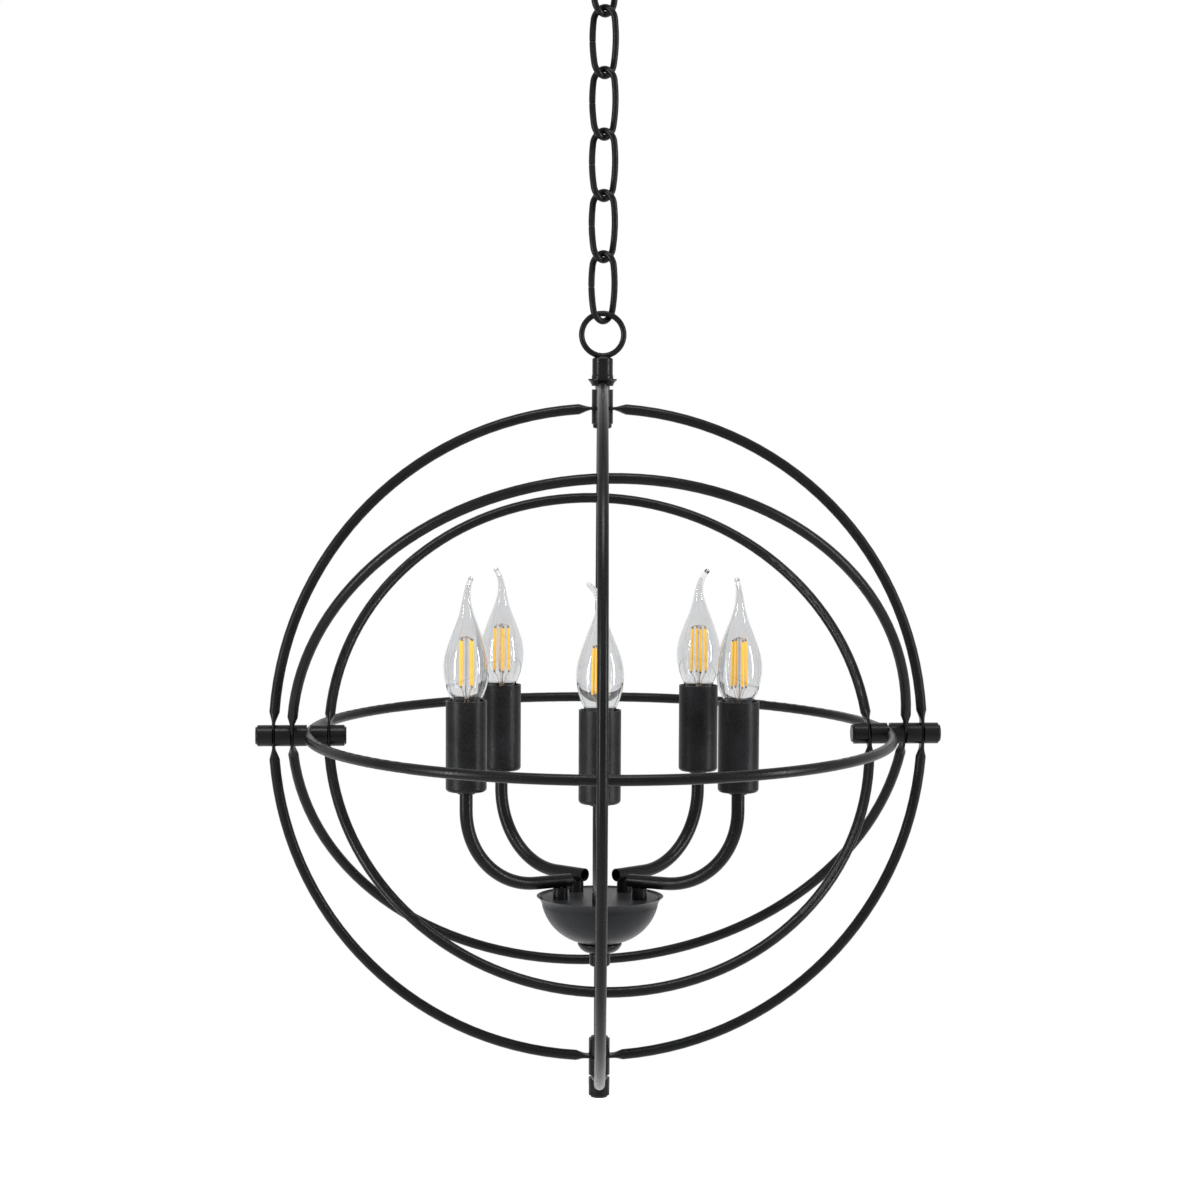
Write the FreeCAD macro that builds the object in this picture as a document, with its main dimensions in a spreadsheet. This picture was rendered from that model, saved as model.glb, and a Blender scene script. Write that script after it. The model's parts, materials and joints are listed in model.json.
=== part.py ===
"""Orb chandelier: five nested tube rings round a five-light lamp, on a chain of twisted links.

Frame: origin at the centre of the canopy's ceiling face, +Z up, X along the two side barrels,
so the whole light hangs below z = 0. Millimetres and degrees.
"""
import FreeCAD
import Part
import Sketcher
import math
import os
from FreeCAD import Placement, Rotation, Vector

# ---------------------------------------------------------------------------------------
# Driving dimensions. Every one can be changed by itself; the rest follows from them.
# ---------------------------------------------------------------------------------------
SIZES = [
    # rings
    ("ring_a_radius", 250.5, "centre line radius of the fixed ring A"),
    ("step_a_e", 15.8, "ring A to ring E, which turns outside it"),
    ("step_a_b", 14.0, "ring A in to ring B"),
    ("step_b_d", 12.5, "ring B in to ring D"),
    ("step_d_c", 15.5, "ring D in to ring C"),
    ("tube_dia", 8.0, "ring tube"),
    ("tab_thick", 2.4, "ring tube where it is pressed flat"),
    ("tab_width", 11.4, "width of the flattened tube"),
    ("tab_reach", 1.4, "flat that shows beyond the barrel"),
    ("neck_length", 8.5, "flat tube swelling back to round"),
    ("tilt_b", 32.4, "ring B at rest, top towards the front"),
    ("tilt_c", 30.7, "ring C at rest, top towards the back"),
    ("tilt_d", 88.2, "ring D at rest, top towards the back"),
    ("turn_e", 4.4, "ring E at rest, off the front-back plane"),
    # barrels
    ("barrel_dia", 16.3, "caps and spacers"),
    ("rod_dia", 4.0, "pivot rods and studs"),
    ("rod_gap", 0.1, "radial running clearance on a rod"),
    ("seat_gap", 0.1, "axial clearance beside a turning tab"),
    ("side_cap_length", 12.6, "outer caps of the side barrels"),
    ("inner_cap_length", 12.0, "inner caps of the side barrels"),
    ("cap_round", 1.6, "rounding of the cap ends"),
    ("rod_bite", 8.0, "thread of a rod inside a cap"),
    # top fitting
    ("top_cap_length", 11.2, "cap under ring A at the top"),
    ("top_nut_length", 2.8, "nut end of that cap"),
    ("top_nut_dia", 14.4, "nut end of that cap"),
    ("flange_height", 5.4, "flared flange on ring E's top tab"),
    ("flange_top_dia", 22.0, "flared flange, wide end"),
    ("ferrule_dia", 15.8, "ferrule of the loop"),
    ("ferrule_height", 15.4, "ferrule of the loop"),
    ("dome_height", 2.2, "domed end of the ferrule"),
    ("loop_radius", 16.1, "loop wire centre line"),
    ("loop_wire", 4.4, "loop wire"),
    # chain
    ("chain_wire", 5.0, "link wire"),
    ("link_width", 22.6, "link, outside"),
    ("link_straight", 34.0, "link's straight length between its bends"),
    ("link_twist", 90.0, "end of a link against its other end"),
    ("link_lean", 0.5, "slope of a strand half way along a link"),
    ("link_seam", 0.4, "open seam in the middle of one strand"),
    ("link_gap", 0.25, "clearance between two links"),
    ("hook_gap", 1.2, "clearance between a link and a loop"),
    # ceiling
    ("canopy_dia", 110.0, "canopy at the ceiling"),
    ("canopy_depth", 32.0, "canopy"),
    ("canopy_wall", 1.2, "canopy"),
    ("canopy_shoulder", 26.0, "canopy's rounded shoulder"),
    ("bar_length", 92.0, "mounting bar"),
    ("bar_width", 20.0, "mounting bar"),
    ("bar_thick", 2.0, "mounting bar"),
    ("screw_spacing", 64.0, "ceiling screws in the mounting bar"),
    ("screw_hole_dia", 5.0, "ceiling screw holes"),
    ("nipple_dia", 10.0, "threaded nipple"),
    ("nipple_bore", 7.0, "threaded nipple"),
    ("block_length", 28.0, "terminal block"),
    ("block_width", 12.0, "terminal block"),
    ("block_height", 13.0, "terminal block"),
    # bottom fitting and stem
    ("bottom_cap_length", 14.0, "cap above ring A at the bottom"),
    ("end_cap_length", 15.0, "end cap at the very bottom"),
    ("stem_dia", 8.4, "lamp stem"),
    ("collar_dia", 16.2, "collar on top of the stem"),
    ("collar_height", 11.6, "collar on top of the stem"),
    ("collar_round", 2.4, "collar's rounded edges"),
    ("finial_top_dia", 34.0, "cup washer under the bowl"),
    ("finial_foot_dia", 24.0, "cup washer under the bowl"),
    ("finial_height", 6.6, "cup washer under the bowl"),
    # bowl and plate
    ("rim_drop", 125.5, "bowl rim below the orb's centre"),
    ("bowl_rim_dia", 98.0, "bowl"),
    ("bowl_dia", 89.4, "bowl under its flared lip"),
    ("bowl_depth", 36.6, "bowl"),
    ("bowl_wall", 1.2, "bowl"),
    ("lip_height", 7.6, "bowl's flared lip"),
    ("bowl_flat_dia", 20.0, "flat bottom of the bowl"),
    ("plate_dia", 90.0, "cover plate"),
    ("plate_thick", 1.5, "cover plate"),
    ("plate_recess", 1.0, "cover plate below the rim"),
    ("nut_width", 8.0, "nuts on the centre rod, across flats"),
    ("nut_height", 3.2, "nuts on the centre rod"),
    ("rod_end", 6.0, "centre rod above its top nut"),
    # arms
    ("post_circle", 32.0, "arm posts round the centre"),
    ("post_dia", 11.6, "arm posts"),
    ("post_height", 9.0, "arm posts"),
    ("arm_dia", 10.0, "arm tube"),
    ("arm_wall", 1.0, "arm tube"),
    ("arm_tail", 9.0, "arm tube past its post"),
    ("arm_reach", 82.0, "post to candle sleeve"),
    ("arm_bend", 60.0, "bend radius of an arm"),
    ("arm_turn", 5.0, "first arm, off the front towards the left"),
    ("swing_1", 0.0, "swivel of arm 1 on its post"),
    ("swing_2", -8.0, "swivel of arm 2 on its post"),
    ("swing_3", -9.6, "swivel of arm 3 on its post"),
    ("swing_4", 12.1, "swivel of arm 4 on its post"),
    ("swing_5", 12.8, "swivel of arm 5 on its post"),
    ("tip_turn_1", 180.0, "bearing of bulb 1's bent tip"),
    ("tip_turn_2", 97.0, "bearing of bulb 2's bent tip"),
    ("tip_turn_3", -50.0, "bearing of bulb 3's bent tip"),
    ("tip_turn_4", 120.0, "bearing of bulb 4's bent tip"),
    ("tip_turn_5", 65.0, "bearing of bulb 5's bent tip"),
    ("screw_dia", 3.8, "screws through the posts"),
    ("screw_head_dia", 7.0, "screws through the posts"),
    ("screw_head_height", 2.4, "screws through the posts"),
    # candles
    ("sleeve_drop", 38.1, "foot of the sleeves below the orb's centre"),
    ("sleeve_dia", 31.0, "candle sleeves"),
    ("sleeve_height", 68.8, "candle sleeves"),
    ("sleeve_wall", 1.0, "candle sleeves"),
    ("sleeve_round", 3.0, "rounded foot of a sleeve"),
    ("washer_dia", 13.5, "washer under a sleeve"),
    ("washer_height", 1.6, "washer under a sleeve"),
    ("holder_height", 48.0, "lampholder in a sleeve"),
    ("holder_bore", 15.2, "lampholder's cap socket"),
    ("base_dia", 14.0, "bulb's screw base"),
    ("base_height", 18.0, "bulb's screw base"),
    ("base_proud", 4.0, "bulb's screw base above the lampholder"),
    ("bulb_dia", 35.0, "bulb glass"),
    ("bulb_height", 108.0, "bulb glass with its bent tip"),
    ("bulb_neck_dia", 14.2, "bulb glass at its base"),
    ("bulb_tip_side", 9.6, "bent tip to the side"),
    ("glass_wall", 0.8, "bulb glass"),
    ("stick_dia", 2.2, "filament sticks"),
    ("stick_length", 34.0, "filament sticks"),
    ("stick_circle", 6.3, "filament sticks round the bulb's axis"),
    ("stick_foot", 27.5, "filament sticks above the glass's foot"),
    ("wire_dia", 0.7, "support wires"),
    ("fit_gap", 0.05, "clearance between seated pieces"),
]
LINK_COUNT = 6
ARM_COUNT = 5

doc = FreeCAD.newDocument("orb_chandelier")
dims = doc.addObject("Spreadsheet::Sheet", "dims")
for row, (alias, number, note) in enumerate(SIZES, start=1):
    dims.set("A%d" % row, note)
    dims.set("B%d" % row, str(number))
    dims.setAlias("B%d" % row, alias)
doc.recompute()


class Size:
    """A length or angle: its value, and the sheet expression that it comes from."""

    def __init__(self, value, text):
        self.value = value
        self.text = text

    def __add__(self, other):
        other = size(other)
        return Size(self.value + other.value, "(%s + %s)" % (self.text, other.text))

    def __sub__(self, other):
        other = size(other)
        return Size(self.value - other.value, "(%s - %s)" % (self.text, other.text))

    def __mul__(self, other):
        other = size(other)
        return Size(self.value * other.value, "(%s * %s)" % (self.text, other.text))

    def __truediv__(self, other):
        other = size(other)
        return Size(self.value / other.value, "(%s / %s)" % (self.text, other.text))

    def __neg__(self):
        return size(0) - self

    def __radd__(self, other):
        return size(other) + self

    def __rsub__(self, other):
        return size(other) - self

    def __rmul__(self, other):
        return size(other) * self

    def __rtruediv__(self, other):
        return size(other) / self


def size(number):
    """A plain number as a Size."""
    if isinstance(number, Size):
        return number
    return Size(float(number), "%.9g" % number)


def cosine(angle):
    return Size(math.cos(math.radians(angle.value)), "cos(%s)" % angle.text)


def sine(angle):
    return Size(math.sin(math.radians(angle.value)), "sin(%s)" % angle.text)


D = {alias: Size(float(dims.get(alias)), "dims." + alias) for alias, _, _ in SIZES}
ZERO = size(0)


# ---------------------------------------------------------------------------------------
# Helpers: sketches, turned parts, placements
# ---------------------------------------------------------------------------------------
def bind(item, prop, amount):
    """Bind a property to the sheet."""
    item.setExpression(prop, size(amount).text)


def place(item, x=0, y=0, z=0, turn=None):
    """Bind the placement; turn is a product of rotations written as an expression."""
    base = "vector(%s; %s; %s)" % (size(x).text, size(y).text, size(z).text)
    item.setExpression("Placement", "placement(%s; %s)" % (base, turn or "rotationz(0)"))
    return item


def spin_z(angle):
    return "rotationz(%s)" % size(angle).text


def spin_x(angle):
    return "rotationx(%s)" % size(angle).text


def spin_y(angle):
    return "rotationy(%s)" % size(angle).text


def new_body(name):
    return doc.addObject("PartDesign::Body", name)


def origin_feature(body, role):
    for feature in body.Origin.OriginFeatures:
        if feature.Role == role:
            return feature
    raise ValueError(role)


def new_sketch(body, name, role="XZ_Plane"):
    sketch = body.newObject("Sketcher::SketchObject", name)
    sketch.AttachmentSupport = [(origin_feature(body, role), "")]
    sketch.MapMode = "FlatFace"
    return sketch


def pin(sketch, edge, end, x, y):
    """Fix one end of an edge at x, y from the sketch's origin."""
    for kind, amount, axis in (("DistanceX", size(x), -2), ("DistanceY", size(y), -1)):
        if amount.text == "0":
            sketch.addConstraint(Sketcher.Constraint("PointOnObject", edge, end, axis))
        else:
            index = sketch.addConstraint(Sketcher.Constraint(kind, edge, end, amount.value))
            sketch.setExpression("Constraints[%d]" % index, amount.text)


def flat_arc(start, stop, radius):
    """An arc between two points of a sketch that bulges to the left for a positive radius."""
    chord = stop - start
    left = Vector(-chord.y, chord.x, 0).normalize()
    half = chord.Length / 2
    away = math.sqrt(max(radius * radius - half * half, 0))
    centre = (start + stop) * 0.5 - left * math.copysign(away, radius)
    first, second = (stop, start) if radius > 0 else (start, stop)
    begin = math.atan2(first.y - centre.y, first.x - centre.x)
    end = math.atan2(second.y - centre.y, second.x - centre.x)
    if end <= begin:
        end += 2 * math.pi
    return Part.ArcOfCircle(Part.Circle(centre, Vector(0, 0, 1), abs(radius)), begin, end)


def outline(sketch, corners, closed=True):
    """Edges through corners (x, y) or (x, y, radius); a radius makes the next edge an arc,
    left of its chord when it is positive."""
    count = len(corners)
    last = count if closed else count - 1
    for i in range(last):
        corner, following = corners[i], corners[(i + 1) % count]
        start = Vector(size(corner[0]).value, size(corner[1]).value, 0)
        stop = Vector(size(following[0]).value, size(following[1]).value, 0)
        if len(corner) == 3:
            sketch.addGeometry(flat_arc(start, stop, size(corner[2]).value), False)
        else:
            sketch.addGeometry(Part.LineSegment(start, stop), False)
    ends = [(2, 1) if len(corner) == 3 and size(corner[2]).value > 0 else (1, 2) for corner in corners]
    for i in range(last if closed else last - 1):
        following = (i + 1) % count
        sketch.addConstraint(Sketcher.Constraint("Coincident", i, ends[i][1], following, ends[following][0]))
    for i in range(last):
        pin(sketch, i, ends[i][0], corners[i][0], corners[i][1])
        if len(corners[i]) == 3:
            radius = size(corners[i][2])
            if radius.value < 0:
                radius = -radius
            chord = sketch.Geometry[i].EndPoint - sketch.Geometry[i].StartPoint
            if abs(chord.Length / 2 - radius.value) < 1e-6:
                level = "Vertical" if abs(chord.x) < abs(chord.y) else "Horizontal"
                sketch.addConstraint(Sketcher.Constraint(level, i, 1, i, 3))
            else:
                index = sketch.addConstraint(Sketcher.Constraint("Radius", i, radius.value))
                sketch.setExpression("Constraints[%d]" % index, radius.text)
    if not closed:
        pin(sketch, last - 1, ends[last - 1][1], corners[-1][0], corners[-1][1])


def circle(sketch, radius, x=0, y=0):
    centre = Vector(size(x).value, size(y).value, 0)
    index = sketch.addGeometry(Part.Circle(centre, Vector(0, 0, 1), size(radius).value), False)
    pin(sketch, index, 3, x, y)
    bound = sketch.addConstraint(Sketcher.Constraint("Radius", index, size(radius).value))
    sketch.setExpression("Constraints[%d]" % bound, size(radius).text)


def turned(name, corners):
    """A body turned about its own Z from a half section in its XZ plane."""
    body = new_body(name)
    sketch = new_sketch(body, name + "_section")
    outline(sketch, corners)
    turn = body.newObject("PartDesign::Revolution", name + "_turn")
    turn.Profile = sketch
    turn.ReferenceAxis = (sketch, ["V_Axis"])
    turn.Angle = 360
    return body


def tube(name, outer, inner, length):
    return turned(name, [(inner, 0), (outer, 0), (outer, length), (inner, length)])


def shaft(name, radius, length):
    return turned(name, [(0, 0), (radius, 0), (radius, length), (0, length)])


def pad(body, sketch, name, length, both_ways=False):
    feature = body.newObject("PartDesign::Pad", name)
    feature.Profile = sketch
    feature.SideType = "Symmetric" if both_ways else "One side"
    bind(feature, "Length", length)
    return feature


def pocket_through(body, sketch, name):
    feature = body.newObject("PartDesign::Pocket", name)
    feature.Profile = sketch
    feature.Type = "ThroughAll"
    feature.SideType = "Symmetric"
    return feature


def group(name, members):
    """Several like solids in one node."""
    item = doc.addObject("Part::Compound", name)
    item.Links = members
    return item


def copy_of(name, master):
    """The master again, to be placed by itself."""
    item = doc.addObject("Part::Compound", name)
    item.Links = [master]
    return item


NODES = []


def node(item, label):
    """Name a sub-part, which is then written to parts/LABEL.step."""
    item.Label = label
    NODES.append(item)
    return item


# ---------------------------------------------------------------------------------------
# Levels. Heights with "orb" in their name are above the orb's centre.
# ---------------------------------------------------------------------------------------
ring_a = D["ring_a_radius"]
ring_e = ring_a + D["step_a_e"]
ring_b = ring_a - D["step_a_b"]
ring_d = ring_b - D["step_b_d"]
ring_c = ring_d - D["step_d_c"]
half_tab = D["tab_thick"] / 2
gap = D["seat_gap"]
barrel = D["barrel_dia"] / 2
rod = D["rod_dia"] / 2
rod_bore = rod + D["fit_gap"]

loop_rise = D["ferrule_height"] + D["dome_height"] + D["loop_radius"]
orb_flange = ring_e + half_tab + gap
orb_loop = orb_flange + D["flange_height"] + loop_rise
link_end = D["link_straight"] / 2 + (D["link_width"] - D["chain_wire"]) / 2
hook = (D["chain_wire"] + D["loop_wire"]) / 2 + D["hook_gap"]
link_pitch = link_end * 2 - D["chain_wire"] - D["link_gap"]
orb_last_link = orb_loop + D["loop_radius"] - hook + link_end
orb_first_link = orb_last_link + link_pitch * (LINK_COUNT - 1)
orb_ceiling_loop = orb_first_link + link_end - hook + D["loop_radius"]
orb_canopy = orb_ceiling_loop + loop_rise
orb_ceiling = orb_canopy + D["canopy_depth"]


def drop(height):
    """A height above the orb's centre as a z below the ceiling."""
    return size(height) - orb_ceiling


# ---------------------------------------------------------------------------------------
# Rings: round tube, pressed flat and pierced where a barrel clamps it
# ---------------------------------------------------------------------------------------
def tab_section(sketch, radius):
    """The flattened tube: two flats and two round edges."""
    flat = (D["tab_width"] - D["tab_thick"]) / 2
    inner, outer = radius - half_tab, radius + half_tab
    outline(sketch, [(inner, -flat, -half_tab), (outer, -flat), (outer, flat, -half_tab), (inner, flat)])


def round_section(sketch, radius):
    """The round tube, in four arcs that meet the flattened tube's four edges."""
    tube_radius = D["tube_dia"] / 2
    split = size(62)
    across, along = tube_radius * cosine(split), tube_radius * sine(split)
    outline(sketch, [(radius - across, -along, -tube_radius), (radius + across, -along, -tube_radius),
                     (radius + across, along, -tube_radius), (radius - across, along, -tube_radius)])


def tube_ring(name, radius, tab_count):
    """A ring about its body's Z, with flattened tabs spread evenly from +X."""
    body = new_body(name)
    reach = barrel + D["tab_reach"]
    swept = (reach + D["neck_length"]) / radius * (180 / math.pi)

    flat = new_sketch(body, name + "_tab_section")
    tab_section(flat, radius)
    tab = pad(body, flat, name + "_tab", reach * 2, both_ways=True)

    features = [tab]
    for side, axis in ((1, Vector(0, 1, 0)), (-1, Vector(0, -1, 0))):
        tag = "%s_neck_%s" % (name, "up" if side > 0 else "down")
        near = new_sketch(body, tag + "_flat")
        tab_section(near, radius)
        near.AttachmentOffset = Placement(Vector(0, 0, -side * reach.value), Rotation())
        near.setExpression("AttachmentOffset.Base.z", (reach * -side).text)
        far = new_sketch(body, tag + "_round")
        round_section(far, radius)
        far.AttachmentOffset = Placement(Vector(), Rotation(axis, swept.value))
        far.setExpression("AttachmentOffset.Rotation.Angle", swept.text)
        neck = body.newObject("PartDesign::AdditiveLoft", tag)
        neck.Profile = near
        neck.Sections = [far]
        features.append(neck)
        if side > 0:
            start = far

    bend = body.newObject("PartDesign::Revolution", name + "_tube")
    bend.Profile = start
    bend.ReferenceAxis = (origin_feature(body, "Z_Axis"), [""])
    bind(bend, "Angle", 360 / size(tab_count) - swept * 2)
    features.append(bend)

    spread = body.newObject("PartDesign::PolarPattern", name + "_halves")
    spread.Originals = features
    spread.Axis = (origin_feature(body, "Z_Axis"), [""])
    spread.Angle = 360
    spread.Occurrences = tab_count
    body.Tip = spread

    for role in ("YZ_Plane", "XZ_Plane")[:tab_count // 2]:
        eye = new_sketch(body, "%s_eye_%s" % (name, role[:2].lower()), role)
        circle(eye, rod + D["rod_gap"])
        pocket_through(body, eye, "%s_eye_cut_%s" % (name, role[:2].lower()))
    return body


def rings():
    item = tube_ring("fixed_ring", ring_a, 4)
    node(place(item, z=drop(0), turn=spin_x(90)), "ring_a")
    for label, radius, tilt in (("ring_b", ring_b, D["tilt_b"]), ("ring_c", ring_c, -D["tilt_c"]),
                                ("ring_d", ring_d, -D["tilt_d"])):
        item = tube_ring("turning_" + label, radius, 2)
        node(place(item, z=drop(0), turn=spin_x(90 + tilt)), label)
    item = tube_ring("turning_ring_e", ring_e, 2)
    turn = spin_z(-D["turn_e"]) + " * " + spin_y(-90)
    node(place(item, z=drop(0), turn=turn), "ring_e")


# ---------------------------------------------------------------------------------------
# Side barrels. Their parts are turned about X, the same on the left and the right.
# ---------------------------------------------------------------------------------------
def cap(name, length, depth, radius=None):
    """A cap with a rounded outer end at z = length and a threaded blind hole from z = 0."""
    radius = size(radius or barrel)
    soft = D["cap_round"]
    return turned(name, [(ZERO, depth), (rod_bore, depth), (rod_bore, 0), (radius, 0),
                         (radius, length - soft, soft), (radius - soft, length), (ZERO, length)])


def both_sides(name, make, start, outward=True):
    """One part on each side barrel, its own Z pointing away from the centre or towards it."""
    members = []
    for side, hand in ((1, "right"), (-1, "left")):
        item = make("%s_%s" % (name, hand))
        angle = 90 * side if outward else -90 * side
        members.append(place(item, x=start * side, z=drop(0), turn=spin_y(angle)))
    return members


def side_barrels():
    stops = [("outer_spacer", ring_b + half_tab + gap, ring_a - half_tab),
             ("middle_spacer", ring_d + half_tab + gap, ring_b - half_tab - gap),
             ("inner_spacer", ring_c + half_tab + gap, ring_d - half_tab - gap)]
    spacers = []
    for name, start, stop in stops:
        spacers += both_sides(name, lambda name: tube(name, barrel, rod_bore, stop - start), start)
    node(group("side_spacer_group", spacers), "side_spacers")
    bite = D["rod_bite"]
    depth = bite + D["fit_gap"]
    inner = ring_c - half_tab - gap
    outer = ring_a + half_tab
    ends = both_sides("end_cap", lambda name: cap(name, D["side_cap_length"], depth), outer)
    node(group("end_cap_group", ends), "side_end_caps")
    ends = both_sides("inner_cap", lambda name: cap(name, D["inner_cap_length"], depth), inner, outward=False)
    node(group("inner_cap_group", ends), "side_inner_caps")
    start, length = inner - bite, outer + bite - (inner - bite)
    rods = both_sides("pivot_rod", lambda name: shaft(name, rod, length), start)
    node(group("pivot_rod_group", rods), "side_pivot_rods")


# ---------------------------------------------------------------------------------------
# Loops: a flange, and a ferrule with a ring of wire on its domed end
# ---------------------------------------------------------------------------------------
def flange(name):
    """Flared, wide end at the top."""
    wide, narrow = D["flange_top_dia"] / 2, barrel
    height = D["flange_height"]
    return turned(name, [(rod_bore, 0), (narrow, 0, height * 1.3), (wide, height - 1), (wide, height),
                         (rod_bore, height)])


def wire_loop(name, bore, depth):
    """Ferrule standing at z = 0 with its loop above, threaded from below."""
    radius = D["ferrule_dia"] / 2
    height, dome = D["ferrule_height"], D["dome_height"]
    foot = radius + 0.4
    crown = (radius * radius + dome * dome) / (dome * 2)
    shell = turned(name + "_ferrule", [(ZERO, depth), (bore, depth), (bore, 0), (foot, 0), (foot, 2),
                                       (radius, 3.5), (radius, height, -crown), (ZERO, height + dome)])
    ring = doc.addObject("Part::Torus", name + "_ring")
    bind(ring, "Radius1", D["loop_radius"])
    bind(ring, "Radius2", D["loop_wire"] / 2)
    place(ring, z=height + dome + D["loop_radius"], turn=spin_x(90))
    item = doc.addObject("Part::Fuse", name)
    item.Base = shell
    item.Tool = ring
    return item


def top_fitting():
    node(place(flange("top_flange_body"), z=drop(orb_flange)), "top_flange")
    bite = D["rod_bite"]
    item = wire_loop("hanging_loop_body", rod_bore, bite + D["fit_gap"])
    node(place(item, z=drop(orb_flange + D["flange_height"])), "hanging_loop")
    spacers = []
    length = ring_e - ring_a - half_tab * 2 - gap
    for name, start in (("top", ring_a + half_tab), ("bottom", -(ring_a + half_tab) - length)):
        item = tube(name + "_spacer", barrel, rod_bore, length)
        spacers.append(place(item, z=drop(start)))
    node(group("ring_spacer_group", spacers), "ring_spacers")
    length, nut = D["top_cap_length"], D["top_nut_length"]
    nut_radius = D["top_nut_dia"] / 2
    item = turned("top_cap_body", [(ZERO, bite + D["fit_gap"]), (rod_bore, bite + D["fit_gap"]),
                                   (rod_bore, 0), (barrel, 0), (barrel, length - 1), (barrel - 1, length),
                                   (nut_radius, length), (nut_radius, length + nut - 1),
                                   (nut_radius - 1, length + nut), (ZERO, length + nut)])
    node(place(item, z=drop(ring_a - half_tab), turn=spin_x(180)), "top_cap")
    foot = ring_a - half_tab - bite
    length = orb_flange + D["flange_height"] + bite - foot
    node(place(shaft("top_stud_body", rod, length), z=drop(foot)), "top_stud")


# ---------------------------------------------------------------------------------------
# Chain: one bent wire a link, twisted a quarter turn, its ends meeting in an open seam
# ---------------------------------------------------------------------------------------
def tangent_arcs(start, heading, stop, leaving):
    """Two arcs from start to stop that leave along heading and arrive along leaving."""
    span = stop - start
    both = heading + leaving
    bend = 2 * (1 - heading.dot(leaving))
    lift = 2 * span.dot(both)
    if bend < 1e-9:
        reach = span.dot(span) / lift
    else:
        reach = (-lift + math.sqrt(lift * lift + 4 * bend * span.dot(span))) / (2 * bend)
    joint = (start + heading * reach + stop - leaving * reach) * 0.5
    return [arc_by_corner(start, start + heading * reach, joint),
            arc_by_corner(joint, stop - leaving * reach, stop)]


def arc_by_corner(start, corner, stop):
    """The arc that touches both lines of a corner, from start to stop."""
    middle = (start + stop) * 0.5
    to_middle = middle - corner
    reach = (start - corner).Length
    half_angle = math.acos(max(-1.0, min(1.0, to_middle.Length / reach)))
    from_corner = reach / math.cos(half_angle) - reach * math.tan(half_angle)
    return Part.Arc(start, corner + to_middle.normalize() * from_corner, stop).toShape()


def link_shape():
    radius = (D["link_width"].value - D["chain_wire"].value) / 2
    half = D["link_straight"].value / 2
    twist = math.radians(D["link_twist"].value / 2)
    lean = D["link_lean"].value
    seam = D["link_seam"].value / 2
    up = Vector(0, 0, 1)

    def corner(side, end):
        """Where a strand meets a bend: side +1 is the right strand, end +1 the top."""
        angle = -twist * end
        return Vector(side * radius * math.cos(angle), side * radius * math.sin(angle), end * half)

    def middle(side):
        """A strand's middle and its direction there, going up."""
        return Vector(side * radius, 0, 0), Vector(0, -side * lean, 1).normalize()

    seam_point, seam_way = middle(-1)
    right_point, right_way = middle(1)
    path = tangent_arcs(seam_point + seam_way * seam, seam_way, corner(-1, 1), up)
    for end, first, second in ((1, -1, 1), (-1, 1, -1)):
        apex = Vector(0, 0, end * (half + radius))
        centre = Vector(0, 0, end * half)
        for begin, finish in ((corner(first, end), apex), (apex, corner(second, end))):
            way = ((begin - centre) + (finish - centre)).normalize() * radius
            path.append(Part.Arc(begin, centre + way, finish).toShape())
        if end > 0:
            path += tangent_arcs(corner(1, 1), -up, right_point, -right_way)
            path += tangent_arcs(right_point, -right_way, corner(1, -1), -up)
    path += tangent_arcs(corner(-1, -1), up, seam_point - seam_way * seam, seam_way)
    wire = Part.Wire(path)
    start = path[0].valueAt(path[0].FirstParameter)
    profile = Part.Wire(Part.makeCircle(D["chain_wire"].value / 2, start, seam_way))
    shape = wire.makePipeShell([profile], True, False)
    expected = math.pi * (D["chain_wire"].value / 2) ** 2 * wire.Length
    if abs(shape.Volume / expected - 1) > 0.02:
        raise ValueError("link volume %.1f, expected %.1f" % (shape.Volume, expected))
    return shape


def chain():
    master = doc.addObject("Part::Feature", "link_master")
    master.Shape = link_shape()
    for i in range(LINK_COUNT):
        item = copy_of("link_copy_%d" % (i + 1), master)
        node(place(item, z=drop(orb_first_link - link_pitch * i)), "chain_link_%d" % (i + 1))


# ---------------------------------------------------------------------------------------
# Ceiling fitting
# ---------------------------------------------------------------------------------------
def hexagon(name, across, height, bore):
    """A nut standing at z = 0."""
    body = new_body(name)
    sketch = new_sketch(body, name + "_outline", "XY_Plane")
    corner = size(across) / (2 * math.cos(math.radians(30)))
    outline(sketch, [(corner * math.cos(math.radians(60 * i)), corner * math.sin(math.radians(60 * i)))
                     for i in range(6)])
    circle(sketch, bore)
    pad(body, sketch, name + "_pad", height)
    return body


def canopy():
    """A cup with a rounded shoulder, open at the ceiling, its middle pierced for the nipple."""
    rim, depth = D["canopy_dia"] / 2, D["canopy_depth"]
    wall, soft = D["canopy_wall"], D["canopy_shoulder"]
    hole = D["nipple_dia"] / 2 + D["fit_gap"]
    item = turned("canopy_body", [(hole, -depth), (rim - soft, -depth, -soft), (rim, -depth + soft),
                                  (rim, 0), (rim - wall, 0), (rim - wall, -depth + soft, soft - wall),
                                  (rim - soft, -depth + wall), (hole, -depth + wall)])
    node(place(item), "canopy")


def mounting_bar():
    body = new_body("bar_body")
    sketch = new_sketch(body, "bar_outline", "XY_Plane")
    half_length, half_width = D["bar_length"] / 2, D["bar_width"] / 2
    straight = half_length - half_width
    outline(sketch, [(-straight, -half_width), (straight, -half_width, -half_width),
                     (straight, half_width), (-straight, half_width, -half_width)])
    circle(sketch, D["nipple_dia"] / 2 + D["fit_gap"])
    for side in (-1, 1):
        circle(sketch, D["screw_hole_dia"] / 2, x=D["screw_spacing"] / 2 * side)
    pad(body, sketch, "bar_pad", D["bar_thick"])
    node(place(body, z=-D["bar_thick"]), "mounting_bar")


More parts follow.
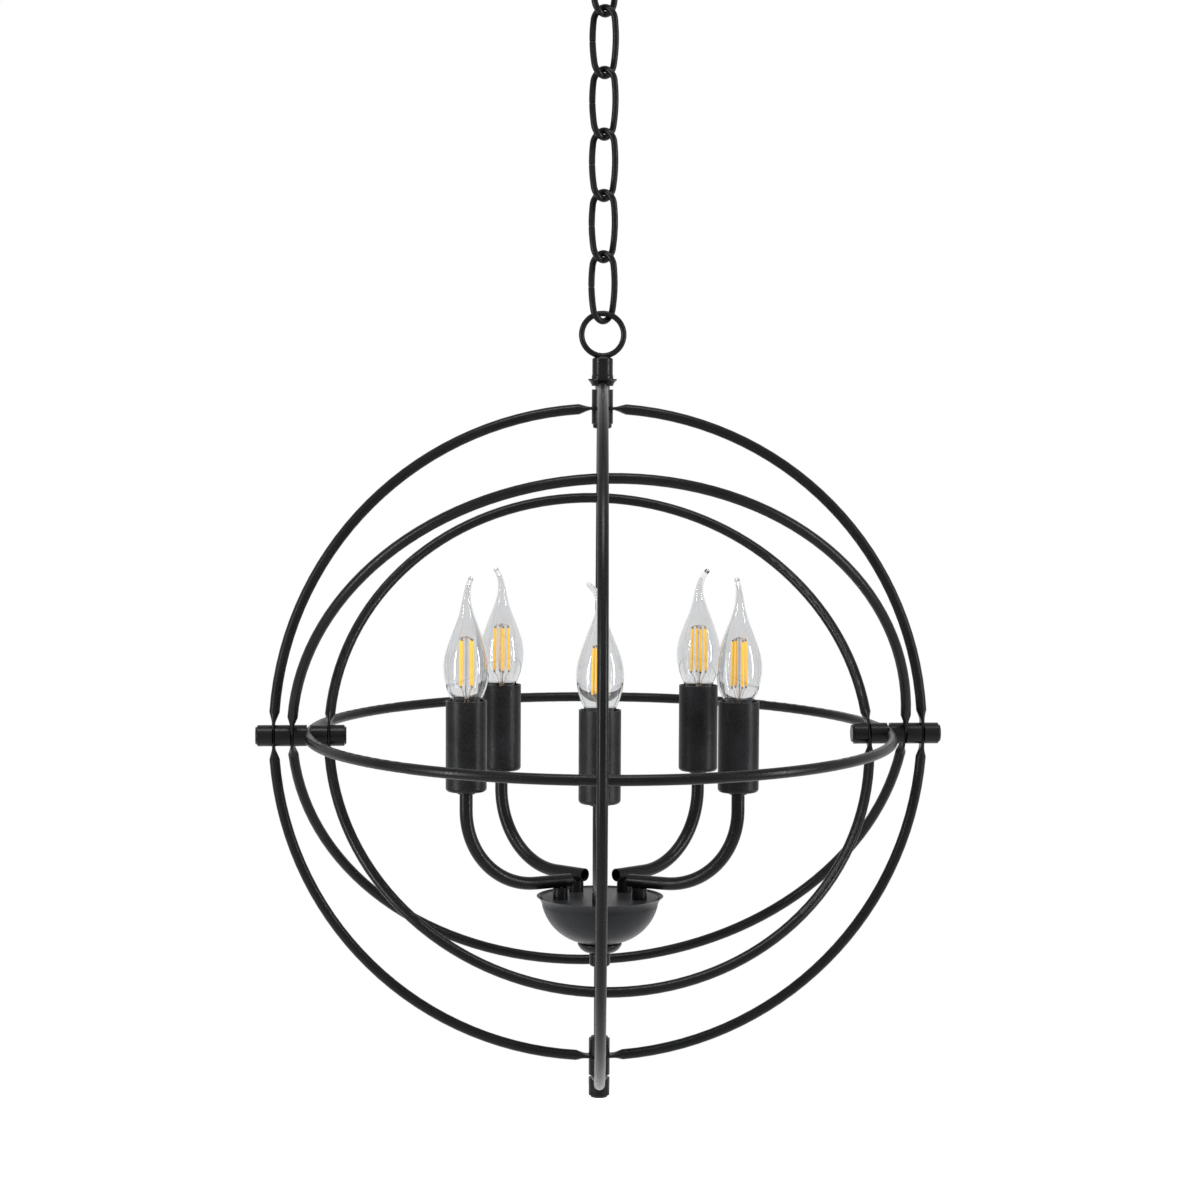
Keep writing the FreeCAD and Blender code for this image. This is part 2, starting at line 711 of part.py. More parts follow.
def ceiling_fitting():
    canopy()
    mounting_bar()
    bore, radius = D["nipple_bore"] / 2, D["nipple_dia"] / 2
    foot = D["canopy_depth"] + D["rod_bite"]
    item = tube("nipple_body", radius, bore, foot)
    node(place(item, z=-foot), "threaded_nipple")
    nuts = []
    tight = radius + D["fit_gap"]
    for name, top in (("upper", D["bar_thick"]), ("lower", D["canopy_depth"] - D["canopy_wall"] - 3)):
        nut = hexagon("lock_nut_" + name, 17, 3, tight)
        nuts.append(place(nut, z=-top - 3))
    node(group("lock_nut_pair", nuts), "lock_nuts")
    block = doc.addObject("Part::Box", "block_body")
    bind(block, "Length", D["block_length"])
    bind(block, "Width", D["block_width"])
    bind(block, "Height", D["block_height"])
    node(place(block, x=D["nipple_dia"], y=-D["block_width"] / 2,
               z=-D["bar_thick"] - D["block_height"]), "terminal_block")
    item = wire_loop("ceiling_loop_body", tight, D["rod_bite"] + D["fit_gap"])
    node(place(item, z=-D["canopy_depth"], turn=spin_x(180)), "ceiling_loop")


# ---------------------------------------------------------------------------------------
# Bottom fitting, stem, bowl and plate
# ---------------------------------------------------------------------------------------
orb_rim = -D["rim_drop"]
orb_bowl_foot = orb_rim - D["bowl_depth"]
orb_collar_foot = orb_bowl_foot - D["finial_height"] - D["collar_height"]
orb_bottom_cap = half_tab - ring_a + D["bottom_cap_length"]
orb_plate = orb_rim - D["plate_recess"]
orb_end_cap = -(ring_e + half_tab + gap)


def bottom_fitting():
    length, soft = D["bottom_cap_length"], D["cap_round"]
    item = turned("bottom_cap_body", [(rod_bore, 0), (barrel, 0), (barrel, length - soft, soft),
                                      (barrel - soft, length), (rod_bore, length)])
    node(place(item, z=drop(orb_bottom_cap - length)), "bottom_cap")
    item = cap("bottom_end_cap_body", D["end_cap_length"], D["rod_bite"] + D["fit_gap"])
    node(place(item, z=drop(orb_end_cap), turn=spin_x(180)), "bottom_end_cap")
    item = tube("stem_body", D["stem_dia"] / 2, rod_bore, orb_collar_foot - orb_bottom_cap)
    node(place(item, z=drop(orb_bottom_cap)), "lamp_stem")
    foot = orb_end_cap - D["rod_bite"]
    length = orb_plate + D["nut_height"] + D["rod_end"] - foot
    node(place(shaft("centre_rod_body", rod, length), z=drop(foot)), "centre_rod")


def collar_and_finial():
    radius, height, soft = D["collar_dia"] / 2, D["collar_height"], D["collar_round"]
    item = turned("collar_body", [(rod_bore, 0), (radius - soft, 0, -soft), (radius, soft),
                                  (radius, height - soft, -soft), (radius - soft, height),
                                  (rod_bore, height)])
    node(place(item, z=drop(orb_collar_foot)), "stem_collar")
    wide, narrow, height = D["finial_top_dia"] / 2, D["finial_foot_dia"] / 2, D["finial_height"]
    item = turned("finial_body", [(rod_bore, 0), (narrow, 0, -height * 1.4), (wide, height - 1),
                                  (wide, height), (rod_bore, height)])
    node(place(item, z=drop(orb_bowl_foot - height)), "finial_cup")


def bowl():
    """A deep cup with a flared lip, the same wall all round."""
    rim, body, flat = D["bowl_rim_dia"] / 2, D["bowl_dia"] / 2, D["bowl_flat_dia"] / 2
    wall, depth, lip = D["bowl_wall"], D["bowl_depth"], D["lip_height"]
    belly, flare = body * 0.86, lip * 1.3
    item = turned("bowl_body", [(rod_bore, -depth), (flat, -depth, -belly), (body, -lip, flare),
                                (rim, 0), (rim - wall, 0, -(flare + wall)), (body - wall, -lip, belly - wall),
                                (flat, wall - depth), (rod_bore, wall - depth)])
    node(place(item, z=drop(orb_rim)), "bowl")
    nuts = []
    tops = (("top", orb_plate), ("plate", orb_plate - D["plate_thick"] - D["nut_height"]),
            ("bowl", orb_bowl_foot + wall))
    for name, level in tops:
        nut = hexagon("rod_nut_" + name, D["nut_width"], D["nut_height"], rod_bore)
        nuts.append(place(nut, z=drop(level)))
    node(group("rod_nut_group", nuts), "rod_nuts")


def post_angle(i):
    return -90 - D["arm_turn"] + 360 / ARM_COUNT * i


def cover_plate():
    body = new_body("plate_body")
    sketch = new_sketch(body, "plate_outline", "XY_Plane")
    circle(sketch, D["plate_dia"] / 2)
    circle(sketch, rod_bore)
    for i in range(ARM_COUNT):
        angle = post_angle(i)
        circle(sketch, D["screw_dia"] / 2 + D["rod_gap"], x=D["post_circle"] * cosine(angle),
               y=D["post_circle"] * sine(angle))
    pad(body, sketch, "plate_pad", D["plate_thick"])
    node(place(body, z=drop(orb_plate - D["plate_thick"])), "cover_plate")


# ---------------------------------------------------------------------------------------
# Arms, sleeves, lampholders and bulbs
# ---------------------------------------------------------------------------------------
orb_arm = orb_plate + D["post_height"] + D["arm_dia"] / 2 + D["fit_gap"]
orb_sleeve = -D["sleeve_drop"]
orb_holder = orb_sleeve + D["sleeve_wall"]
orb_glass = orb_holder + D["holder_height"] + D["base_proud"]


def arm_spot(i, reach):
    """A place reach from post i, along its arm."""
    angle, swing = post_angle(i), D["swing_%d" % (i + 1)]
    x = D["post_circle"] * cosine(angle) + size(reach) * cosine(angle + swing)
    y = D["post_circle"] * sine(angle) + size(reach) * sine(angle + swing)
    return x, y, angle + swing


def arm_body(name):
    """One bent tube: along its own X from behind the post, then up into the sleeve."""
    body = new_body(name)
    bend, reach, tail = D["arm_bend"], D["arm_reach"], D["arm_tail"]
    top = orb_holder + D["rod_bite"] - orb_arm
    path = new_sketch(body, name + "_path")
    outline(path, [(-tail, 0), (reach - bend, 0, -bend), (reach, bend), (reach, top)], closed=False)
    section = new_sketch(body, name + "_section", "YZ_Plane")
    section.AttachmentOffset = Placement(Vector(0, 0, -tail.value), Rotation())
    section.setExpression("AttachmentOffset.Base.z", (-tail).text)
    circle(section, D["arm_dia"] / 2)
    circle(section, D["arm_dia"] / 2 - D["arm_wall"])
    sweep = body.newObject("PartDesign::AdditivePipe", name + "_tube")
    sweep.Profile = section
    sweep.Spine = path
    hole = new_sketch(body, name + "_hole", "XY_Plane")
    circle(hole, D["screw_dia"] / 2 + D["fit_gap"])
    cut = body.newObject("PartDesign::Pocket", name + "_hole_cut")
    cut.Profile = hole
    cut.SideType = "One side"
    bind(cut, "Length", D["arm_dia"])
    return body


def arms():
    master = arm_body("arm_master")
    posts, screws = [], []
    for i in range(ARM_COUNT):
        x, y, way = arm_spot(i, 0)
        item = copy_of("arm_copy_%d" % (i + 1), master)
        node(place(item, x, y, drop(orb_arm), spin_z(way)), "arm_%d" % (i + 1))
        post = tube("post_%d" % (i + 1), D["post_dia"] / 2, D["screw_dia"] / 2 + D["fit_gap"],
                    D["post_height"])
        posts.append(place(post, x, y, drop(orb_plate)))
        shank, head = D["screw_dia"] / 2, D["screw_head_dia"] / 2
        tall, length = D["screw_head_height"], D["plate_thick"] + D["post_height"] + D["arm_wall"] * 2
        screw = turned("screw_%d" % (i + 1), [(0, 0), (head, 0), (head, tall), (shank, tall),
                                              (shank, tall + length), (0, tall + length)])
        screws.append(place(screw, x, y, drop(orb_plate - D["plate_thick"] - tall)))
    node(group("post_group", posts), "arm_posts")
    node(group("screw_group", screws), "arm_screws")


def sleeve_master():
    radius, height = D["sleeve_dia"] / 2, D["sleeve_height"]
    wall, soft = D["sleeve_wall"], D["sleeve_round"]
    hole = D["arm_dia"] / 2 + D["fit_gap"]
    return turned("sleeve_master", [(hole, 0), (radius - soft, 0, -soft), (radius, soft), (radius, height),
                                    (radius - wall, height), (radius - wall, soft, soft - wall),
                                    (radius - soft, wall), (hole, wall)])


def holder_master():
    """Lampholder: a cup for the bulb's base, closed below, with a bore for the arm's end."""
    radius, height = D["sleeve_dia"] / 2 - D["sleeve_round"] - D["fit_gap"], D["holder_height"]
    arm_hole, socket = D["arm_dia"] / 2 + D["fit_gap"], D["holder_bore"] / 2
    deep = D["rod_bite"] + D["fit_gap"]
    floor = height + D["base_proud"] - D["base_height"] - D["fit_gap"]
    return turned("holder_master", [(arm_hole, 0), (radius, 0), (radius, height - 6), (radius - 3, height),
                                    (socket, height), (socket, floor), (ZERO, floor), (ZERO, deep),
                                    (arm_hole, deep)])


def base_master():
    """Screw base: a plain shell with a rounded foot and its contact button."""
    radius, height = D["base_dia"] / 2, D["base_height"]
    button, insulator = 2.4, 3.2
    return turned("base_master", [(ZERO, -height), (button, -height), (insulator, 1.4 - height),
                                  (radius - 1.2, 3.4 - height), (radius, 5 - height), (radius, -1),
                                  (radius + 0.3, 0), (ZERO, 0)])


# Bulb glass: share of the height, shares of the neck's and of the widest radius, share of the
# tip's side step, lean in degrees
GLASS_SECTIONS = [(0.0, 1.0, 0.0, 0.0, 0), (0.06, 1.0, 0.034, 0.0, 0), (0.155, 0.5, 0.452, 0.0, 0),
                  (0.25, 0.1, 0.834, 0.0, 0), (0.335, 0.0, 0.985, 0.0, 0), (0.42, 0.0, 1.0, 0.0, 0),
                  (0.49, 0.0, 0.95, 0.0, 0), (0.55, 0.0, 0.825, 0.04, 2), (0.65, 0.0, 0.55, 0.22, 6),
                  (0.74, 0.0, 0.32, 0.31, 4), (0.81, 0.0, 0.185, 0.36, 5), (0.88, 0.0, 0.12, 0.47, 13),
                  (0.955, 0.0, 0.095, 0.76, 19), (0.985, 0.0, 0.085, 0.89, 21)]


def glass_loft(name, inset, first, last):
    """Circles lofted up the bulb's bent axis, inset from the outside."""
    sections = []
    for i in range(first, last):
        up, narrow, wide, side, lean = GLASS_SECTIONS[i]
        ring = doc.addObject("Part::Circle", "%s_circle_%d" % (name, i))
        bind(ring, "Radius", D["bulb_neck_dia"] / 2 * narrow + D["bulb_dia"] / 2 * wide - inset)
        lift = inset if i == 0 else ZERO
        place(ring, x=D["bulb_tip_side"] * side, z=D["bulb_height"] * up + lift, turn=spin_y(lean))
        sections.append(ring)
    loft = doc.addObject("Part::Loft", name)
    loft.Sections = sections
    loft.Solid = True
    loft.Ruled = False
    return loft


def glass_master():
    """A blown bulb with a bent tip, hollow, with its glass stem inside."""
    wall = D["glass_wall"]
    outside = glass_loft("glass_outside", ZERO, 0, len(GLASS_SECTIONS))
    bead = doc.addObject("Part::Sphere", "glass_bead")
    up, _, wide, side, _ = GLASS_SECTIONS[-1]
    bind(bead, "Radius", D["bulb_dia"] / 2 * wide * 1.04)
    place(bead, x=D["bulb_tip_side"] * side, z=D["bulb_height"] * up)
    closed = doc.addObject("Part::Fuse", "glass_closed")
    closed.Base = outside
    closed.Tool = bead
    inside = glass_loft("glass_inside", wall, 0, len(GLASS_SECTIONS) - 3)
    shell = doc.addObject("Part::Cut", "glass_shell")
    shell.Base = closed
    shell.Tool = inside
    top = D["stick_foot"] + D["stick_length"] + 1.5
    stem = turned("glass_stem", [(0, 0.3), (4.6, 0.3), (3.6, 6), (2.2, 13), (1.1, 17), (1.1, top),
                                 (0, top)])
    item = doc.addObject("Part::Fuse", "glass_master")
    item.Base = shell
    item.Tool = stem
    return item


def filament_master():
    """Four sticks on wire spiders, clear of the glass stem."""
    foot, length = D["stick_foot"], D["stick_length"]
    away, wire = D["stick_circle"], D["wire_dia"] / 2
    eye = wire + 1.5
    levels = (("low", foot - wire / 2), ("high", foot + length + wire / 2))
    pieces = []
    for i in range(4):
        angle = size(45 + 90 * i)
        stick = turned("stick_%d" % i, [(0, 0), (D["stick_dia"] / 2, 0), (D["stick_dia"] / 2, length),
                                        (0, length)])
        place(stick, away * cosine(angle), away * sine(angle), foot)
        pieces.append(stick)
        for name, level in levels:
            spoke = doc.addObject("Part::Cylinder", "spoke_%s_%d" % (name, i))
            bind(spoke, "Radius", wire)
            bind(spoke, "Height", away - eye)
            place(spoke, cosine(angle) * eye, sine(angle) * eye, level,
                  spin_z(angle) + " * " + spin_y(90))
            pieces.append(spoke)
    for name, level in levels:
        hoop = doc.addObject("Part::Torus", "hoop_" + name)
        bind(hoop, "Radius1", eye)
        bind(hoop, "Radius2", wire)
        place(hoop, z=level)
        pieces.append(hoop)
    item = doc.addObject("Part::MultiFuse", "filament_master")
    item.Shapes = pieces
    return item


def candles():
    washer = tube("washer_master", D["washer_dia"] / 2, D["arm_dia"] / 2 + D["fit_gap"], D["washer_height"])
    sleeve, holder, base = sleeve_master(), holder_master(), base_master()
    glass, filament = glass_master(), filament_master()
    washers, sleeves, holders = [], [], []
    for i in range(ARM_COUNT):
        tag = i + 1
        x, y, _ = arm_spot(i, D["arm_reach"])
        sleeves.append(place(copy_of("sleeve_copy_%d" % tag, sleeve), x, y, drop(orb_sleeve)))
        washers.append(place(copy_of("washer_copy_%d" % tag, washer), x, y,
                             drop(orb_sleeve - D["washer_height"])))
        holders.append(place(copy_of("holder_copy_%d" % tag, holder), x, y, drop(orb_holder)))
        turn = spin_z(D["tip_turn_%d" % tag])
        node(place(copy_of("glass_copy_%d" % tag, glass), x, y, drop(orb_glass), turn), "bulb_glass_%d" % tag)
        node(place(copy_of("filament_copy_%d" % tag, filament), x, y, drop(orb_glass), turn),
             "bulb_filament_%d" % tag)
        node(place(copy_of("base_copy_%d" % tag, base), x, y, drop(orb_glass)), "bulb_base_%d" % tag)
    node(group("washer_group", washers), "sleeve_washers")
    node(group("sleeve_group", sleeves), "candle_sleeves")
    node(group("holder_group", holders), "lampholders")


# ---------------------------------------------------------------------------------------
# Build, check and write
# ---------------------------------------------------------------------------------------
ceiling_fitting()
chain()
top_fitting()
rings()
side_barrels()
bottom_fitting()
collar_and_finial()
bowl()
cover_plate()
arms()
candles()
doc.recompute()

faults = []
for item in doc.Objects:
    if "Invalid" in item.State or "Error" in item.State:
        faults.append("%s: %s" % (item.Name, item.State))
for item in NODES:
    shape = item.Shape
    if shape.isNull() or not shape.isValid() or not shape.Solids:
        faults.append("%s: its shape is not a valid solid" % item.Label)
if faults:
    raise RuntimeError("; ".join(faults))

os.makedirs("parts", exist_ok=True)
for item in NODES:
    item.Shape.exportStep("parts/%s.step" % item.Label)
print("%d nodes, orb centre at z = %.2f" % (len(NODES), drop(0).value))
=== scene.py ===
import json
import math

import bmesh
import bpy
from mathutils import Matrix, Vector


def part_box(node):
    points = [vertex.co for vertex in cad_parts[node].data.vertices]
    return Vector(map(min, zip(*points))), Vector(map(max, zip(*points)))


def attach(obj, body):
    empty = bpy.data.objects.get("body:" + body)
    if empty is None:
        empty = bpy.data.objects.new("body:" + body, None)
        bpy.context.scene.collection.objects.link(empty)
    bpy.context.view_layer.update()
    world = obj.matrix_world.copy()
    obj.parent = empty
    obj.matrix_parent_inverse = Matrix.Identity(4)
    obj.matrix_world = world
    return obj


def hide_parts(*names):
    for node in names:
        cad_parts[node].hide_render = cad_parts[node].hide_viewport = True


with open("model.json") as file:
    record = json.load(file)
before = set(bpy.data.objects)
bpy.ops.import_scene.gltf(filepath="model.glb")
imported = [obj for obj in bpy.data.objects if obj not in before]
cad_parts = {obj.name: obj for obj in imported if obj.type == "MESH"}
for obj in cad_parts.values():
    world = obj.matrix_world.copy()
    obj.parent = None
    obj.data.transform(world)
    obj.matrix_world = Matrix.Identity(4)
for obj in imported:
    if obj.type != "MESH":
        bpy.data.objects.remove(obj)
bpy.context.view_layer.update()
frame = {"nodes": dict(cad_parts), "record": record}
NODES = frame["nodes"]

# ---------------------------------------------------------------------------------------
# Places, in metres, from the frame
# ---------------------------------------------------------------------------------------
MM = 0.001
low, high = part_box("ring_a")
ORB = (low + high) / 2
ARMS = range(1, 6)
LINKS = range(1, 7)


# ---------------------------------------------------------------------------------------
# Materials
# ---------------------------------------------------------------------------------------
class Shader:
    """A node material, built up from its own object coordinates."""

    def __init__(self, name):
        self.material = bpy.data.materials.new(name)
        self.material.use_nodes = True
        self.tree = self.material.node_tree
        self.tree.nodes.clear()
        self.out = self.add("ShaderNodeOutputMaterial")
        self.coords = self.add("ShaderNodeTexCoord").outputs["Object"]

    def add(self, kind, **settings):
        node = self.tree.nodes.new(kind)
        for key, setting in settings.items():
            setattr(node, key, setting)
        return node

    def link(self, source, target):
        self.tree.links.new(source, target)

    def noise(self, scale, detail=2.0, roughness=0.5, stretch=None):
        node = self.add("ShaderNodeTexNoise")
        node.inputs["Scale"].default_value = scale
        node.inputs["Detail"].default_value = detail
        node.inputs["Roughness"].default_value = roughness
        coords = self.coords
        if stretch:
            mapping = self.add("ShaderNodeMapping")
            mapping.inputs["Scale"].default_value = stretch
            self.link(self.coords, mapping.inputs["Vector"])
            coords = mapping.outputs["Vector"]
        self.link(coords, node.inputs["Vector"])
        return node.outputs["Fac"]

    def cells(self, scale, output="Distance"):
        node = self.add("ShaderNodeTexVoronoi")
        node.inputs["Scale"].default_value = scale
        self.link(self.coords, node.inputs["Vector"])
        return node.outputs[output]

    def remap(self, source, low_in, high_in, low_out, high_out):
        node = self.add("ShaderNodeMapRange")
        for key, amount in (("From Min", low_in), ("From Max", high_in), ("To Min", low_out),
                            ("To Max", high_out)):
            node.inputs[key].default_value = amount
        self.link(source, node.inputs["Value"])
        return node.outputs["Result"]

    def blend(self, factor, first, second):
        """A colour between two colours."""
        node = self.add("ShaderNodeMix", data_type="RGBA")
        self.link(factor, node.inputs[0])
        for socket, colour in ((node.inputs[6], first), (node.inputs[7], second)):
            if hasattr(colour, "is_output"):
                self.link(colour, socket)
            else:
                socket.default_value = (*colour, 1.0)
        return node.outputs[2]

    def maths(self, operation, first, second):
        node = self.add("ShaderNodeMath", operation=operation)
        for socket, amount in ((node.inputs[0], first), (node.inputs[1], second)):
            if hasattr(amount, "is_output"):
                self.link(amount, socket)
            else:
                socket.default_value = amount
        return node.outputs[0]

    def bump(self, height, strength, distance, under=None):
        node = self.add("ShaderNodeBump")
        node.inputs["Strength"].default_value = strength
        node.inputs["Distance"].default_value = distance
        self.link(height, node.inputs["Height"])
        if under:
            self.link(under, node.inputs["Normal"])
        return node.outputs["Normal"]

    def surface(self, **inputs):
        """The principled shader with these inputs, each a number, a colour or a socket."""
        node = self.add("ShaderNodeBsdfPrincipled")
        for key, amount in inputs.items():
            socket = node.inputs[key.replace("_", " ")]
            if hasattr(amount, "is_output"):
                self.link(amount, socket)
            elif isinstance(amount, tuple):
                socket.default_value = (*amount, 1.0)
            else:
                socket.default_value = amount
        self.link(node.outputs[0], self.out.inputs["Surface"])
        return node


def powder_coat(name, dark, light, rough, grain, depth):
    """Baked powder coat: a fine pebbled skin with a slow drift of tone and gloss."""
    s = Shader(name)
    pebbles = s.noise(grain, 3.0, 0.65)
    drift = s.noise(35.0, 2.0)
    specks = s.cells(grain * 0.9)
    tone = s.blend(s.remap(s.maths("ADD", pebbles, drift), 0.75, 1.25, 0.0, 1.0), dark, light)
    gloss = s.remap(specks, 0.1, 0.6, rough - 0.08, rough + 0.1)
    fine = s.bump(pebbles, 0.4, depth)
    normal = s.bump(s.noise(grain * 0.28, 1.0), 0.15, depth, fine)
    s.surface(Base_Color=tone, Roughness=gloss, Normal=normal, Specular_IOR_Level=0.11)
    return s.material


def blackened_steel():
    """Rods, nuts and screws: turned steel, blackened and oiled."""
    s = Shader("blackened_steel")
    lines = s.noise(260.0, 4.0, 0.6, (1.0, 1.0, 9.0))
    tone = s.blend(s.remap(lines, 0.3, 0.7, 0.0, 1.0), (0.014, 0.014, 0.015), (0.035, 0.035, 0.037))
    s.surface(Base_Color=tone, Roughness=s.remap(lines, 0.3, 0.7, 0.28, 0.45),
              Normal=s.bump(lines, 0.25, 0.00008), Metallic=0.4)
    return s.material


def zinc_steel():
    """Hidden ceiling hardware: bright zinc with its faint spangle and rolling lines."""
    s = Shader("zinc_steel")
    spangle = s.cells(220.0, output="Color")
    grey = s.add("ShaderNodeSeparateColor")
    s.link(spangle, grey.inputs[0])
    streaks = s.noise(90.0, 5.0, 0.6, (0.15, 3.0, 3.0))
    mixed = s.maths("ADD", s.maths("MULTIPLY", grey.outputs[0], 0.35), s.maths("MULTIPLY", streaks, 0.65))
    tone = s.blend(s.remap(mixed, 0.25, 0.75, 0.0, 1.0), (0.42, 0.43, 0.44), (0.66, 0.67, 0.68))
    s.surface(Base_Color=tone, Metallic=1.0, Roughness=s.remap(mixed, 0.2, 0.8, 0.28, 0.46),
              Normal=s.bump(streaks, 0.2, 0.0001))
    return s.material


def moulded_plastic(name, dark, light, rough):
    s = Shader(name)
    grain = s.noise(1500.0, 2.0)
    flow = s.noise(60.0, 3.0, 0.5, (1.0, 1.0, 0.4))
    tone = s.blend(s.remap(flow, 0.3, 0.7, 0.0, 1.0), dark, light)
    s.surface(Base_Color=tone, Roughness=s.remap(grain, 0.3, 0.7, rough - 0.06, rough + 0.08),
              Normal=s.bump(grain, 0.25, 0.00008))
    return s.material


def rolled_base():
    """The bulb's screw shell: rolled thread in nickelled brass; this material does not draw the dark insulator
    at its foot.
    """
    s = Shader("rolled_base")
    split = s.add("ShaderNodeSeparateXYZ")
    s.link(s.coords, split.inputs[0])
    pitch = 2.8 * MM
    turn = s.maths("SINE", s.maths("MULTIPLY", split.outputs["Z"], 2 * math.pi / pitch), 0.0)
    smudge = s.noise(140.0, 3.0)
    tone = s.blend(s.remap(smudge, 0.3, 0.7, 0.0, 1.0), (0.58, 0.57, 0.53), (0.78, 0.77, 0.73))
    s.surface(Base_Color=tone, Metallic=1.0, Roughness=s.remap(smudge, 0.3, 0.7, 0.22, 0.38),
              Normal=s.bump(turn, 0.8, 0.0006))
    return s.material


def clear_glass():
    """Thin blown glass: clear, with slow waves from blowing. It lets light through to the inside."""
    s = Shader("clear_glass")
    waves = s.noise(38.0, 1.0, 0.4, (1.0, 1.0, 0.35))
    glass = s.surface(Base_Color=(0.775, 0.782, 0.79), Roughness=0.0, IOR=1.47, Transmission_Weight=1.0,
                      Normal=s.bump(waves, 0.06, 0.0008))
    path = s.add("ShaderNodeLightPath")
    clear = s.add("ShaderNodeBsdfTransparent")
    clear.inputs["Color"].default_value = (0.97, 0.975, 0.98, 1.0)
    mix = s.add("ShaderNodeMixShader")
    s.link(s.maths("MAXIMUM", path.outputs["Is Shadow Ray"], path.outputs["Is Diffuse Ray"]), mix.inputs[0])
    s.link(glass.outputs[0], mix.inputs[1])
    s.link(clear.outputs[0], mix.inputs[2])
    s.link(mix.outputs[0], s.out.inputs["Surface"])
    return s.material


def phosphor():
    """Filament sticks: silicone loaded with yellow phosphor, faintly mottled, with a faint painted glow that
    brightens them though the bulb is not lit.
    """
    s = Shader("phosphor")
    mottle = s.noise(1100.0, 3.0, 0.6)
    beads = s.noise(420.0, 1.0, 0.5, (1.0, 1.0, 2.2))
    tone = s.blend(s.remap(mottle, 0.3, 0.7, 0.0, 1.0), (0.86, 0.44, 0.008), (0.95, 0.55, 0.020))
    # the emission is a painted glow: it lifts the sticks' brightness, the filament itself is not lit
    s.surface(Base_Color=tone, Roughness=s.remap(mottle, 0.3, 0.7, 0.4, 0.6), Normal=s.bump(beads, 0.5, 0.0003),
              Emission_Color=tone, Emission_Strength=0.3)
    return s.material


def fine_metal(name, dark, light, rough):
    """Fine wire and solder, tarnished unevenly."""
    s = Shader(name)
    stain = s.noise(700.0, 3.0)
    tone = s.blend(s.remap(stain, 0.3, 0.7, 0.0, 1.0), dark, light)
    s.surface(Base_Color=tone, Metallic=1.0, Roughness=s.remap(stain, 0.3, 0.7, rough - 0.08, rough + 0.1),
              Normal=s.bump(stain, 0.3, 0.00006))
    return s.material


COAT = powder_coat("black_powder_coat", (0.003, 0.0031, 0.0034), (0.007, 0.0073, 0.008), 0.24, 900.0,
                   0.00006)
SANDY = powder_coat("sandy_powder_coat", (0.003, 0.0031, 0.0034), (0.016, 0.0165, 0.018), 0.28, 760.0,
                    0.00045)
BOWL = powder_coat("bowl_powder_coat", (0.011, 0.0115, 0.0135), (0.020, 0.021, 0.0235), 0.30, 1100.0,
                   0.00006)
STEEL = blackened_steel()
ZINC = zinc_steel()
TERMINAL = moulded_plastic("terminal_plastic", (0.74, 0.72, 0.66), (0.82, 0.80, 0.75), 0.5)
HOLDER = moulded_plastic("holder_plastic", (0.022, 0.022, 0.024), (0.036, 0.036, 0.038), 0.55)
BASE = rolled_base()
GLASS = clear_glass()
PHOSPHOR_PAINTED_GLOW = phosphor()
CLIP = fine_metal("clip_metal", (0.10, 0.085, 0.075), (0.20, 0.17, 0.15), 0.35)
LEAD = fine_metal("lead_wire", (0.30, 0.19, 0.13), (0.52, 0.40, 0.32), 0.3)

SLOT_MATERIALS = {"black_metal": COAT, "sleeve_metal": SANDY, "bowl_metal": BOWL, "black_steel": STEEL,
                  "zinc_steel": ZINC, "terminal_plastic": TERMINAL, "holder_plastic": HOLDER,
                  "base_metal": BASE, "bulb_glass": GLASS, "filament": PHOSPHOR_PAINTED_GLOW}
for part in frame["record"]["subparts"]:
    item = NODES[part["node"]]
    for face_slot in item.material_slots:
        face_slot.material = SLOT_MATERIALS[part["material_slot"]]


# ---------------------------------------------------------------------------------------
# Finer pieces than the frame holds: chain links, bulb glass, what is inside the bulbs
# ---------------------------------------------------------------------------------------
def sweep(name, centres, radii, sides):
    """A round bar along these points, with its own radius at each, closed at both ends."""
    mesh = bpy.data.meshes.new(name)
    bm = bmesh.new()
    count = len(centres)
    ways = [(centres[min(i + 1, count - 1)] - centres[max(i - 1, 0)]).normalized() for i in range(count)]
    across = ways[0].orthogonal().normalized()
    rows = []
    for i in range(count):
        if i:
            across = ways[i - 1].rotation_difference(ways[i]) @ across
            across = (across - ways[i] * across.dot(ways[i])).normalized()
        beside = ways[i].cross(across)
        row = []
        for k in range(sides):
            angle = 2 * math.pi * k / sides
            away = across * math.cos(angle) + beside * math.sin(angle)
            row.append(bm.verts.new(centres[i] + away * radii[i]))
        rows.append(row)
    for lower, upper in zip(rows, rows[1:]):
        for k in range(sides):
            bm.faces.new((lower[k], lower[(k + 1) % sides], upper[(k + 1) % sides], upper[k]))
    bm.faces.new(list(reversed(rows[0])))
    bm.faces.new(rows[-1])
    for face in bm.faces:
        face.smooth = len(face.verts) == 4
    bmesh.ops.recalc_face_normals(bm, faces=bm.faces)
    bm.to_mesh(mesh)
    bm.free()
    item = bpy.data.objects.new(name, mesh)
    bpy.context.collection.objects.link(item)
    return item


def join(name, items):
    """One object made of several."""
    bm = bmesh.new()
    for item in items:
        bm.from_mesh(item.data)
        old = item.data
        bpy.data.objects.remove(item)
        bpy.data.meshes.remove(old)
    mesh = bpy.data.meshes.new(name)
    bm.to_mesh(mesh)
    bm.free()
    item = bpy.data.objects.new(name, mesh)
    bpy.context.collection.objects.link(item)
    return item


def finish_piece(item, material, body, slot, *nodes):
    """Material and body of a new piece, and the frame's nodes that it stands for; the slot is not used."""
    item.data.materials.clear()
    item.data.materials.append(material)
    if nodes:
        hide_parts(*nodes)
    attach(item, body)


